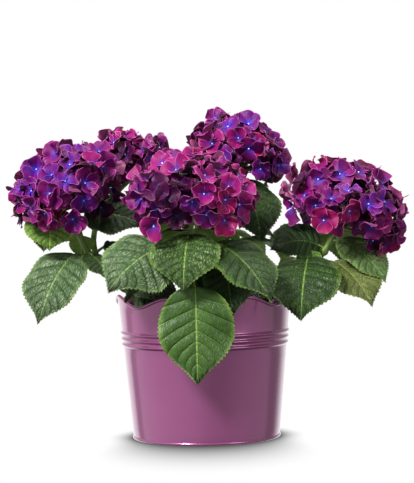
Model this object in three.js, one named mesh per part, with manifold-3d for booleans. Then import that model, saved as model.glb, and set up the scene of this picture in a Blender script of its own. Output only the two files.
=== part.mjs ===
// A mophead hydrangea in a scalloped metal pot, built as a three.js scene graph.
// Millimetres, +Z up. The origin is the centre of the pot's flat underside, and
// -Y is the plant's front. Each flowering shoot is three solids that follow one
// curve: the bare stem, the leafy stretch above it with its leaves fused on, and
// the flower head with its stalk. They meet end to end, a hair apart.

import * as THREE from "three";
import { ConvexHull } from "three/addons/math/ConvexHull.js";
import { mergeVertices } from "three/addons/utils/BufferGeometryUtils.js";
import Module from "manifold-3d";

const wasm = await Module();
wasm.setup();

// ---- Driving dimensions ----------------------------------------------------

const GAP = 0.35; // air left between neighbouring solids
const WELD = 1e-4; // points nearer than this are one point

const POT = {
  height: 157, // mean height of the rim
  footRadius: 81.6,
  topRadius: 96.6,
  floor: 2,
  wall: 1.6,
  heel: 0.8, // how far the flat underside stops short of the wall
  facets: 56,
};

// The rolled bead round the foot: how far it stands out, and where it starts,
// turns in and ends.
const BEAD = { out: 1.3, low: 0.7, shoulder: 2.4, high: 3.4 };

// Three raised hoops below the rim.
const RIBS = { heights: [106, 112.5, 119], out: 1.8, half: 2.9 };

const RIM = {
  flareFrom: 12, // depth below the rim at which the wall starts to flare
  flare: 0.6, // how far the rim stands out from the wall
  roll: 1.8, // radius of the rolled edge
  corners: [-60, 0, 60, 120], // of the rolled edge, in degrees above level
  inner: 10, // depth below the rim at which the inside is a plain cone again
};

const SCALLOPS = {
  count: 7,
  rise: 5.5, // of a crest above the mean rim, and of a dip below it
  from: 124, // height at which they fade out
  crest: -62, // bearing of one crest
};

const SOIL = { top: 140, facets: 28 };

const STEM = {
  footRadius: 4.6,
  tipRadius: 2.5,
  stalkFrom: 0.95, // share of the shoot at which the head's stalk starts
  sides: 6,
  steps: 14, // on a whole shoot
};

const PETIOLE = {
  rootRadius: 1.8,
  tipRadius: 1.2,
  lift: 12, // how much steeper than its rise it leaves the stem, in degrees
  sides: 3,
  steps: 2,
};

const BLADE = {
  thickness: 1.4,
  stations: [0.06, 0.22, 0.46, 0.7, 0.88], // shares of its length that have an outline point
  bendSteps: 12, // steps in which the midrib bends
};

const HEAD = {
  florets: 44, // on a head of the size below
  floretsRadius: 67,
  spread: 122, // degrees from the axis that the florets reach
  seat: 0.94, // how far out the florets sit, as a share of the head
  valley: 0.8, // how far out the skin is where three florets meet
  under: { polar: 148, size: 0.62, points: 7 }, // ring of points under the head
  pole: 0.56, // how far below its centre a head closes
  sag: 0.45, // how far below its centre the stalk ends, inside the head
};

const FLORET = {
  radius: 17,
  sepals: 4,
  cup: 0.14, // depth of its eye, as a share of its radius
};

// The most by which a floret differs from its place, size and lean on a regular head.
const VARY = { polar: 4, turn: 5, seat: 0.06, tilt: 0.25, size: 0.12 };

// Bearings are in degrees from +X towards +Y, rises in degrees above level.
// foot and guides: where the shoot leaves the soil, and two points that bend it
// towards its head. leafy: the share of the shoot at which its leaves start.
// A leaf: [share of the shoot, petiole's bearing, its length, its rise,
// blade's bearing, bend at the base, bend at the tip, length, width, roll about
// the midrib, fold along it].
const SHOOTS = [
  {
    name: "left",
    seed: 11,
    foot: [-38, -8],
    guides: [[-95, -10, 170], [-139, -10, 193]],
    head: { centre: [-152, -10, 283], radius: 69, height: 52, axis: [-0.36, -0.08, 0.92] },
    leafy: 0.3,
    leaves: [
      [0.65, 188, 17, 14, 228, -36, -72, 96, 80, -12, 0.1],
      [0.69, 292, 10, -10, 304, -16, -60, 44, 42, 0, 0.1],
      [0.9, 150, 10, 5, 116, -4, -48, 84, 62, 10, 0.08],
      [0.82, 80, 8, -5, 95, -30, -70, 36, 28, 0, 0.1],
      [0.5, 100, 20, 20, 95, 12, -25, 60, 46, 0, 0.1],
      [0.33, 300, 14, 10, 345, 5, -30, 58, 44, 35, 0.1],
    ],
  },
  {
    name: "left_back",
    seed: 23,
    foot: [-30, 35],
    guides: [[-110, 0, 167], [-169, 50, 215]],
    head: { centre: [-84, 90, 308], radius: 50, height: 42, axis: [-0.1, 0.2, 0.97] },
    leafy: 0.5,
    leaves: [
      [0.8, 245, 36, 8, 348, 2, -28, 76, 58, 46, 0.08],
      [0.82, 65, 16, 10, 60, 8, -50, 84, 62, 0, 0.12],
      [0.88, 150, 12, 5, 140, 10, -40, 70, 52, 0, 0.1],
    ],
  },
  {
    name: "center",
    seed: 35,
    foot: [-12, -38],
    guides: [[-13, -44, 175], [-14, -62, 205]],
    head: { centre: [-12, -75, 272], radius: 71, height: 51, axis: [0, -0.12, 0.99] },
    leafy: 0.22,
    leaves: [
      [0.72, 214, 26, 10, 216, -12, -50, 96, 82, -40, -0.2],
      [0.8, 262, 18, 15, 262, -25, -80, 78, 76, 0, 0.12],
      [0.52, 274, 56, -18, 272, -78, -88, 106, 81, 0, 0.05],
      [0.7, 318, 36, 12, 319, -20, -62, 99, 72, 14, 0.06],
      [0.52, 337, 35, 13, 285, -45, -80, 70, 56, 0, 0.1],
      [0.42, 335, 30, 16, 262, -40, -82, 66, 50, 0, 0.1],
      [0.34, 205, 24, 15, 212, 10, -55, 66, 52, 0, 0.1],
    ],
  },
  {
    name: "top",
    seed: 47,
    foot: [10, 12],
    guides: [[16, 22, 190], [37, 52, 239]],
    head: { centre: [41, 60, 317], radius: 61, height: 49, axis: [0.22, 0.02, 0.97] },
    leafy: 0.3,
    leaves: [
      [0.92, 300, 16, 10, 296, -30, -84, 86, 68, 0, 0.06],
      [0.92, 120, 14, 20, 120, 5, -50, 84, 64, 0, 0.12],
      [0.5, 335, 26, 10, 335, -5, -35, 80, 62, 0, 0.1],
      [0.62, 155, 24, 20, 155, 5, -45, 80, 60, 0, 0.1],
      [0.34, 60, 22, 15, 60, 5, -60, 66, 50, 0, 0.1],
    ],
  },
  {
    name: "right",
    seed: 59,
    foot: [38, -14],
    guides: [[95, -14, 164], [131, -16, 187]],
    head: { centre: [159, -15, 258], radius: 73, height: 53, axis: [0.34, -0.08, 0.93] },
    leafy: 0.3,
    leaves: [
      [0.68, 247, 29, 8, 258, -28, -74, 88, 82, 0, 0.08],
      [0.78, 190, 1, 35, 190, 26, -40, 60, 56, -40, 0.1],
      [0.86, 345, 9, 5, 322, -16, -62, 76, 58, 16, 0.12],
      [0.6, 325, 28, 14, 308, -16, -62, 80, 64, 10, 0.1],
      [0.9, 80, 14, 15, 80, 0, -55, 84, 64, 0, 0.1],
      [0.76, 225, 20, 8, 262, -45, -85, 32, 28, 0, 0.15],
      [0.42, 60, 22, 15, 60, 10, -35, 66, 50, 0, 0.1],
      [0.33, 230, 18, 10, 190, 10, -25, 56, 44, -35, 0.1],
    ],
  },
  {
    name: "back",
    seed: 71,
    foot: [-5, 45],
    guides: [[-6, 62, 175], [-8, 118, 195]],
    head: { centre: [-8, 145, 261], radius: 49, height: 40, axis: [-0.05, 0.3, 0.95] },
    leafy: 0.22,
    leaves: [
      [0.86, 20, 18, 10, 20, 0, -60, 84, 64, 0, 0.1],
      [0.86, 165, 18, 10, 165, 0, -60, 84, 64, 0, 0.1],
      [0.62, 92, 30, 5, 92, -5, -72, 98, 76, 0, 0.08],
      [0.42, 140, 34, 15, 132, 0, -70, 92, 70, 0, 0.1],
      [0.34, 200, 20, 15, 205, 5, -50, 70, 54, 0, 0.1],
      [0.34, 340, 20, 15, 335, 5, -50, 70, 54, 0, 0.1],
    ],
  },
  {
    name: "right_back",
    seed: 83,
    foot: [38, 38],
    guides: [[80, 60, 175], [126, 90, 194]],
    head: { centre: [152, 104, 259], radius: 43, height: 36, axis: [0.2, 0.2, 0.95] },
    leafy: 0.3,
    leaves: [
      [0.86, 30, 16, 10, 30, 0, -55, 72, 56, 0, 0.1],
      [0.86, 118, 18, 10, 118, 0, -60, 88, 66, 0, 0.1],
      [0.5, 70, 30, 10, 70, -5, -70, 90, 70, 0, 0.1],
      [0.42, 250, 20, 15, 250, 5, -50, 62, 48, 0, 0.1],
    ],
  },
];

const COLOURS = {
  pot: { color: 0x8f4f86, roughness: 0.28, metalness: 0.25 },
  soil: { color: 0x1d1611, roughness: 0.95, metalness: 0 },
  stem: { color: 0x4d6a2c, roughness: 0.7, metalness: 0 },
  leaf: { color: 0x4a7434, roughness: 0.6, metalness: 0 },
  bloom: { color: 0xa01a68, roughness: 0.65, metalness: 0 },
};

// ---- Small helpers ---------------------------------------------------------

const radians = THREE.MathUtils.degToRad;
const { lerp, smoothstep } = THREE.MathUtils;
const UP = new THREE.Vector3(0, 0, 1);

// Park and Miller's generator: the same seed always grows the same plant.
function seeded(seed) {
  let state = seed;
  return () => {
    state = (state * 16807) % 2147483647;
    return state / 2147483647;
  };
}

function bearing(degrees, rise = 0) {
  const turn = radians(degrees);
  const lift = radians(rise);
  return new THREE.Vector3(
    Math.cos(turn) * Math.cos(lift),
    Math.sin(turn) * Math.cos(lift),
    Math.sin(lift),
  );
}

// The point at origin + a * u + b * v.
function offset(origin, a, u, b, v) {
  return origin.clone().addScaledVector(u, a).addScaledVector(v, b);
}

// What is left of a direction across another one.
function squared(direction, along) {
  return direction.clone().addScaledVector(along, -direction.dot(along)).normalize();
}

// Two vectors across a direction, so that u x v points along it.
function across(along) {
  const reference = Math.abs(along.x) < 0.9 ? new THREE.Vector3(1, 0, 0) : new THREE.Vector3(0, 1, 0);
  const u = squared(reference, along);
  return [u, along.clone().cross(u)];
}

// ---- Solids ----------------------------------------------------------------

function solid(geometry) {
  geometry.deleteAttribute("normal");
  geometry.deleteAttribute("uv");
  const merged = mergeVertices(geometry, WELD);
  return new wasm.Manifold(new wasm.Mesh({
    numProp: 3,
    vertProperties: new Float32Array(merged.attributes.position.array),
    triVerts: new Uint32Array(merged.index.array),
  }));
}

// A closed skin over a row of rings. Each ring runs anticlockwise about the way
// the row goes; an end is one point, or a ring closed flat.
function loft(rings) {
  const starts = rings.map((_, k) => rings.slice(0, k).reduce((sum, ring) => sum + ring.length, 0));
  const faces = [];
  for (let k = 0; k + 1 < rings.length; k += 1) {
    const [from, to] = [rings[k].length, rings[k + 1].length];
    for (let i = 0; i < Math.max(from, to); i += 1) {
      const a0 = starts[k] + (i % from);
      const a1 = starts[k] + ((i + 1) % from);
      const b0 = starts[k + 1] + (i % to);
      const b1 = starts[k + 1] + ((i + 1) % to);
      if (from > 1) faces.push(a0, a1, b1);
      if (to > 1) faces.push(a0, b1, b0);
    }
  }
  const last = rings.length - 1;
  for (let i = 1; i + 1 < rings[0].length; i += 1) faces.push(0, i + 1, i);
  for (let i = 1; i + 1 < rings[last].length; i += 1) {
    faces.push(starts[last], starts[last] + i, starts[last] + i + 1);
  }
  const geometry = new THREE.BufferGeometry();
  geometry.setAttribute("position", new THREE.Float32BufferAttribute(
    rings.flat().flatMap((point) => point.toArray()), 3));
  geometry.setIndex(faces);
  return solid(geometry);
}

// One tapering limb along a stretch of a curve, as wide at each share of the
// whole curve as widthAt says. A level foot lies flat on the ground.
function limb(curve, [from, to], widthAt, { sides, steps }, levelFoot = false) {
  const count = Math.max(1, Math.round(steps * (to - from)));
  const rings = [];
  let u = null;
  for (let k = 0; k <= count; k += 1) {
    const share = lerp(from, to, k / count);
    const along = levelFoot && k === 0 ? UP : curve.getTangent(share);
    u = u ? squared(u, along) : across(along)[0];
    const v = along.clone().cross(u);
    rings.push(Array.from({ length: sides }, (_, i) => {
      const angle = (2 * Math.PI * i) / sides;
      const radius = widthAt(share);
      return offset(curve.getPoint(share), radius * Math.cos(angle), u, radius * Math.sin(angle), v);
    }));
  }
  return loft(rings);
}

function joined(solids) {
  return solids.reduce((sum, next) => sum.add(next));
}

// The largest body of a cut solid: loose scraps are left out.
function largest(cut) {
  return cut.decompose().sort((a, b) => b.volume() - a.volume())[0];
}

// ---- Pot and soil ----------------------------------------------------------

function potWall(z) {
  return lerp(POT.footRadius, POT.topRadius, z / POT.height);
}

// The profile of the pot's outside, and of its inside from the rim down.
function potProfile(grow) {
  const outside = [
    [potWall(0) - POT.heel, -grow],
    [potWall(0) + BEAD.out, BEAD.low],
    [potWall(0) + BEAD.out, BEAD.shoulder],
    [potWall(BEAD.high), BEAD.high],
    [potWall(RIBS.heights[0] - RIBS.half), RIBS.heights[0] - RIBS.half],
  ];
  for (const rib of RIBS.heights) {
    outside.push([potWall(rib) + RIBS.out, rib]);
    outside.push([potWall(rib + RIBS.half), rib + RIBS.half]);
  }
  outside.push([potWall(POT.height - RIM.flareFrom), POT.height - RIM.flareFrom]);
  const rim = RIM.corners.map((corner) => [
    potWall(POT.height) + RIM.flare + (RIM.roll + grow) * Math.cos(radians(corner)),
    POT.height - RIM.roll + (RIM.roll + grow) * Math.sin(radians(corner)),
  ]);
  const inside = [POT.height - RIM.inner, POT.floor + grow];
  return [
    [0, -grow],
    ...outside.map(([radius, z]) => [radius + grow, z]),
    ...rim,
    ...inside.map((z) => [potWall(z) - POT.wall - grow, z]),
    [0, POT.floor + grow],
  ].map(([radius, z]) => new THREE.Vector2(radius, z));
}

// Lifts and drops the rim in waves; the wall stays on its own cone.
function scallop(geometry) {
  const slope = (POT.topRadius - POT.footRadius) / POT.height;
  const place = geometry.attributes.position;
  for (let i = 0; i < place.count; i += 1) {
    const [x, y, z] = [place.getX(i), place.getY(i), place.getZ(i)];
    const radius = Math.hypot(x, y);
    const wave = Math.cos(SCALLOPS.count * (Math.atan2(y, x) - radians(SCALLOPS.crest)));
    const lift = SCALLOPS.rise * wave * smoothstep(z, SCALLOPS.from, POT.height);
    const scale = radius > 0 ? (radius + lift * slope) / radius : 1;
    place.setXYZ(i, x * scale, y * scale, z + lift);
  }
}

function potSolid(grow) {
  const geometry = new THREE.LatheGeometry(potProfile(grow), POT.facets);
  geometry.rotateX(Math.PI / 2);
  scallop(geometry);
  return solid(geometry);
}

// Soil fills the pot, clear of its wall and floor.
function soilSolid(grow) {
  const bottom = POT.floor + GAP;
  const radiusAt = (z) => potWall(z) - POT.wall - 2 * GAP;
  const profile = [
    [0, bottom],
    [radiusAt(bottom), bottom],
    [radiusAt(SOIL.top), SOIL.top + grow],
    [0, SOIL.top + grow],
  ].map(([radius, z]) => new THREE.Vector2(radius, z));
  const geometry = new THREE.LatheGeometry(profile, SOIL.facets);
  geometry.rotateX(Math.PI / 2);
  return solid(geometry);
}

// ---- Shoots ----------------------------------------------------------------

function shootCurve(shoot) {
  const axis = new THREE.Vector3(...shoot.head.axis).normalize();
  const top = new THREE.Vector3(...shoot.head.centre)
    .addScaledVector(axis, -HEAD.sag * shoot.head.height);
  const foot = new THREE.Vector3(...shoot.foot, SOIL.top);
  const guides = shoot.guides.map((point) => new THREE.Vector3(...point));
  return new THREE.CubicBezierCurve3(foot, ...guides, top);
}

// The share of a shoot that lies one gap above a given share.
function past(curve, share) {
  const step = 0.001;
  const length = curve.getPoint(share).distanceTo(curve.getPoint(share + step));
  return share + (step * GAP) / length;
}

function stemWidth(share) {
  return lerp(STEM.footRadius, STEM.tipRadius, share);
}

// A stretch of the shoot itself: its bare foot, leafy middle or head stalk.
function shootStretch(curve, from, to, grow) {
  const widthAt = (share) => stemWidth(share) + grow;
  return limb(curve, [from, to], widthAt, STEM, from === 0);
}

// Half the width of a leaf at a share of its length, for a leaf 1 wide: broad
// and round at the base, and drawn out to a tip.
function leafHalf(share) {
  return 0.5 * Math.sin(Math.PI * share ** 0.85) ** (0.8 + 0.5 * share ** 6);
}

// The midrib's point and direction at a share of the leaf's length.
function midrib(leaf, share) {
  const step = share / BLADE.bendSteps;
  const point = leaf.base.clone();
  for (let k = 0; k < BLADE.bendSteps; k += 1) {
    const rise = lerp(...leaf.bend, step * (k + 0.5));
    point.addScaledVector(bearing(leaf.turn, rise), leaf.length * step);
  }
  return { point, along: bearing(leaf.turn, lerp(...leaf.bend, share)) };
}

// The blade: a thin lens, folded a little along its midrib.
function bladeSolid(leaf, grow) {
  const ring = (share) => {
    const { point, along } = midrib(leaf, share);
    const side = bearing(leaf.turn + 90).applyAxisAngle(along, radians(leaf.roll));
    const up = along.clone().cross(side);
    const half = leafHalf(share) * leaf.width + grow;
    const thick = BLADE.thickness / 2 + grow;
    const lift = half * leaf.fold;
    return [
      offset(point, half, side, lift, up),
      offset(point, 0, side, thick, up),
      offset(point, -half, side, lift, up),
      offset(point, 0, side, -thick, up),
    ];
  };
  const start = midrib(leaf, 0);
  const end = midrib(leaf, 1);
  return loft([
    [start.point.addScaledVector(start.along, -grow)],
    ...BLADE.stations.map(ring),
    [end.point.addScaledVector(end.along, grow)],
  ]);
}

// The petiole: it starts inside the stem and ends inside the blade.
function petioleSolid(leaf, grow) {
  const reach = leaf.base.distanceTo(leaf.root);
  const elbow = leaf.root.clone()
    .addScaledVector(bearing(leaf.from, leaf.rise + PETIOLE.lift), reach / 2);
  const sunk = leaf.root.clone().addScaledVector(bearing(leaf.from), -PETIOLE.rootRadius);
  const end = midrib(leaf, BLADE.stations[0]).point;
  const curve = new THREE.QuadraticBezierCurve3(sunk, elbow, end);
  const widthAt = (share) => lerp(PETIOLE.rootRadius, PETIOLE.tipRadius, share) + grow;
  return limb(curve, [0, 1], widthAt, PETIOLE);
}

function shootLeaves(curve, shoot) {
  return shoot.leaves.map((leaf) => {
    const [share, from, petiole, rise, turn, bendBase, bendTip, length, width, roll, fold] = leaf;
    const root = curve.getPoint(share);
    const base = root.clone().addScaledVector(bearing(from, rise), petiole + stemWidth(share));
    return { root, base, from, rise, turn, bend: [bendBase, bendTip], length, width, roll, fold };
  });
}

function leavesSolid(curve, shoot, grow) {
  const stretch = shootStretch(curve, past(curve, shoot.leafy), STEM.stalkFrom, grow);
  const pieces = shootLeaves(curve, shoot).flatMap((leaf) => [
    petioleSolid(leaf, grow),
    bladeSolid(leaf, grow),
  ]);
  return joined([stretch, ...pieces]);
}

// The florets of a head, set by the golden angle over a flattened dome.
function florets(shoot) {
  const random = seeded(shoot.seed);
  const vary = (most) => lerp(-most, most, random());
  const { centre, radius, height, axis } = shoot.head;
  const count = Math.round(HEAD.florets * (radius / HEAD.floretsRadius) ** 2);
  const along = new THREE.Vector3(...axis).normalize();
  const [u, v] = across(along);
  const golden = Math.PI * (3 - Math.sqrt(5));
  return Array.from({ length: count }, (_, i) => {
    const cosine = 1 - ((i + 0.5) / count) * (1 - Math.cos(radians(HEAD.spread)));
    const polar = Math.acos(cosine) + radians(vary(VARY.polar));
    const turn = i * golden + radians(vary(VARY.turn));
    const seat = HEAD.seat * (1 + vary(VARY.seat));
    const sideways = offset(new THREE.Vector3(), Math.cos(turn), u, Math.sin(turn), v);
    const [out, up] = [Math.sin(polar), Math.cos(polar)];
    const middle = new THREE.Vector3(...centre);
    const place = offset(middle, radius * seat * out, sideways, height * seat * up, along);
    const normal = offset(new THREE.Vector3(), out / radius, sideways, up / height, along).normalize();
    const [tiltU, tiltV] = across(normal);
    normal.addScaledVector(tiltU, vary(VARY.tilt)).addScaledVector(tiltV, vary(VARY.tilt)).normalize();
    const spin = random() * Math.PI;
    const size = FLORET.radius * (1 + vary(VARY.size));
    return { place, normal, spin, size };
  });
}

// A head in its own round space: a unit sphere stands for its flattened dome.
function headSpace(shoot) {
  const { centre, radius, height, axis } = shoot.head;
  const along = new THREE.Vector3(...axis).normalize();
  const [u, v] = across(along);
  return new THREE.Matrix4()
    .makeBasis(u.multiplyScalar(radius), v.multiplyScalar(radius), along.multiplyScalar(height))
    .setPosition(...centre);
}

// The eyes and the sepals' tips of a head's florets, in that space.
function floretPoints(shoot, space) {
  const inward = space.clone().invert();
  const eyes = [];
  const tips = [];
  for (const { place, normal, spin, size } of florets(shoot)) {
    const [u, v] = across(normal);
    eyes.push(place.clone().addScaledVector(normal, -FLORET.cup * size).applyMatrix4(inward));
    for (let i = 0; i < FLORET.sepals; i += 1) {
      const angle = spin + (2 * Math.PI * i) / FLORET.sepals;
      const tip = offset(place, size * Math.cos(angle), u, size * Math.sin(angle), v);
      tips.push(tip.applyMatrix4(inward));
    }
  }
  return { eyes, tips };
}

// The points under a head: a ring, and the pole where the head closes.
function undersidePoints() {
  const { polar, size, points } = HEAD.under;
  const ring = Array.from({ length: points }, (_, i) => (
    bearing((360 * i) / points, 90 - polar).multiplyScalar(size)
  ));
  return [...ring, new THREE.Vector3(0, 0, -HEAD.pole)];
}

// The triangles of the convex hull of some unit vectors, as index triples.
function hullFaces(directions) {
  const place = new Map(directions.map((direction, i) => [direction, i]));
  return new ConvexHull().setFromPoints(directions).faces.map(({ edge }) => (
    [edge.tail().point, edge.head().point, edge.next.head().point].map((point) => place.get(point))
  ));
}

function directionsOf(points) {
  return points.map((point) => point.clone().normalize());
}

// The head's crumpled skin: every eye and tip at its own height, with a valley
// wherever three neighbouring florets meet.
function headSolid(shoot, grow) {
  const space = headSpace(shoot);
  const { eyes, tips } = floretPoints(shoot, space);
  const underside = undersidePoints();
  const corners = directionsOf([...eyes, ...underside]);
  const lowest = Math.cos(radians(HEAD.spread));
  const valleys = hullFaces(corners)
    .map((face) => face.reduce((sum, i) => sum.add(corners[i]), new THREE.Vector3()).normalize())
    .filter((middle) => middle.z > lowest)
    .map((middle) => middle.multiplyScalar(HEAD.valley));
  const points = [...eyes, ...tips, ...underside, ...valleys];
  const directions = directionsOf(points);
  const swell = grow / shoot.head.height;
  const skin = points.map((point, i) => (
    point.clone().addScaledVector(directions[i], swell).applyMatrix4(space)
  ));
  const geometry = new THREE.BufferGeometry().setFromPoints(skin);
  geometry.setIndex(hullFaces(directions).flat());
  return solid(geometry);
}

function bloomSolid(curve, shoot, grow) {
  const stalk = shootStretch(curve, past(curve, STEM.stalkFrom), 1, grow);
  return headSolid(shoot, grow).add(stalk);
}

// ---- Assembly --------------------------------------------------------------

function namedMesh(name, body, look) {
  const { vertProperties, triVerts } = body.getMesh();
  const geometry = new THREE.BufferGeometry();
  geometry.setAttribute("position", new THREE.Float32BufferAttribute(vertProperties, 3));
  geometry.setIndex(new THREE.Uint32BufferAttribute(triVerts, 1));
  geometry.computeVertexNormals();
  const mesh = new THREE.Mesh(geometry, new THREE.MeshStandardMaterial(look));
  mesh.name = name;
  return mesh;
}

const group = new THREE.Group();
group.name = "potted_hydrangea";

// Solids are laid down in order, and each is cut clear of those before it.
const laid = [];
function lay(name, look, make) {
  const body = laid.reduce((rest, earlier) => rest.subtract(earlier), make(0));
  laid.push(make(GAP));
  group.add(namedMesh(name, largest(body), look));
}

lay("pot", COLOURS.pot, potSolid);
lay("soil", COLOURS.soil, soilSolid);
for (const shoot of SHOOTS) {
  const curve = shootCurve(shoot);
  lay(`stem_${shoot.name}`, COLOURS.stem, (grow) => shootStretch(curve, 0, shoot.leafy, grow));
}
for (const shoot of SHOOTS) {
  const curve = shootCurve(shoot);
  lay(`bloom_${shoot.name}`, COLOURS.bloom, (grow) => bloomSolid(curve, shoot, grow));
}
for (const shoot of SHOOTS) {
  const curve = shootCurve(shoot);
  lay(`leaves_${shoot.name}`, COLOURS.leaf, (grow) => leavesSolid(curve, shoot, grow));
}

export default group;
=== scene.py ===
"""The look of a potted mophead hydrangea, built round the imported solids.

The plant grows here by the same rule and from the same sizes as its solids: seven
shoots, each a stem, a leafy stretch and a domed head of four-sepalled florets.
Lengths are millimetres until a mesh is written; Blender's units are metres.
"""

import math
from types import SimpleNamespace as Sizes

import bpy
import numpy as np
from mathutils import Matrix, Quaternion, Vector


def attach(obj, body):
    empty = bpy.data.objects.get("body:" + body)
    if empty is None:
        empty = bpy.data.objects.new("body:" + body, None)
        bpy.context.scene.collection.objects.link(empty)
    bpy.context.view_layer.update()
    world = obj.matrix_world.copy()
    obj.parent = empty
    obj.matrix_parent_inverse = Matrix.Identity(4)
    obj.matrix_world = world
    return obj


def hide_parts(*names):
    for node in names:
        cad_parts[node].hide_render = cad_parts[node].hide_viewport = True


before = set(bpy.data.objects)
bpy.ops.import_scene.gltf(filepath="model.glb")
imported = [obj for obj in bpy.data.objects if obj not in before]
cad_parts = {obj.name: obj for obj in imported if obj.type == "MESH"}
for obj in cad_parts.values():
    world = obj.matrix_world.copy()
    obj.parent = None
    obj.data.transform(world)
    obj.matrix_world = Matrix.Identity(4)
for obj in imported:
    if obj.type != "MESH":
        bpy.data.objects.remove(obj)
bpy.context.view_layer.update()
MM = 0.001

# ---- Sizes, as in the solids' source ----

POT = Sizes(height=157, foot=81.6, top=96.6, floor=2, wall=1.6, heel=2.5, web=40, hub=0.5)
BEAD = Sizes(out=1.3, high=3.4, gap=0.6)
RIBS = Sizes(heights=(106, 112.5, 119), out=1.8, half=2.9)
RIM = Sizes(flare_from=12, flare=0.6, roll=1.8, inner=10, lip=1.4, tuck=1.5)
SCALLOPS = Sizes(count=7, rise=5.5, low=124, crest=-62)
SOIL_TOP = 140
STEM = Sizes(foot=4.6, tip=2.5)
PETIOLE = Sizes(
    root=1.8, tip=1.2, lift=12, flare=0.5, flare_half=3, joins=0.07, under=0.5, steps=14, sides=10,
)
HEAD = Sizes(florets=44, florets_radius=67, spread=122, seat=0.94, sag=0.45)
FLORET = Sizes(radius=17, sepals=4, spin=0.4, turn=0.09, size=(0.9, 1.08), stack=0.5)
VARY = Sizes(polar=4, turn=5, seat=0.06, tilt=0.25, size=0.12)

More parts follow.
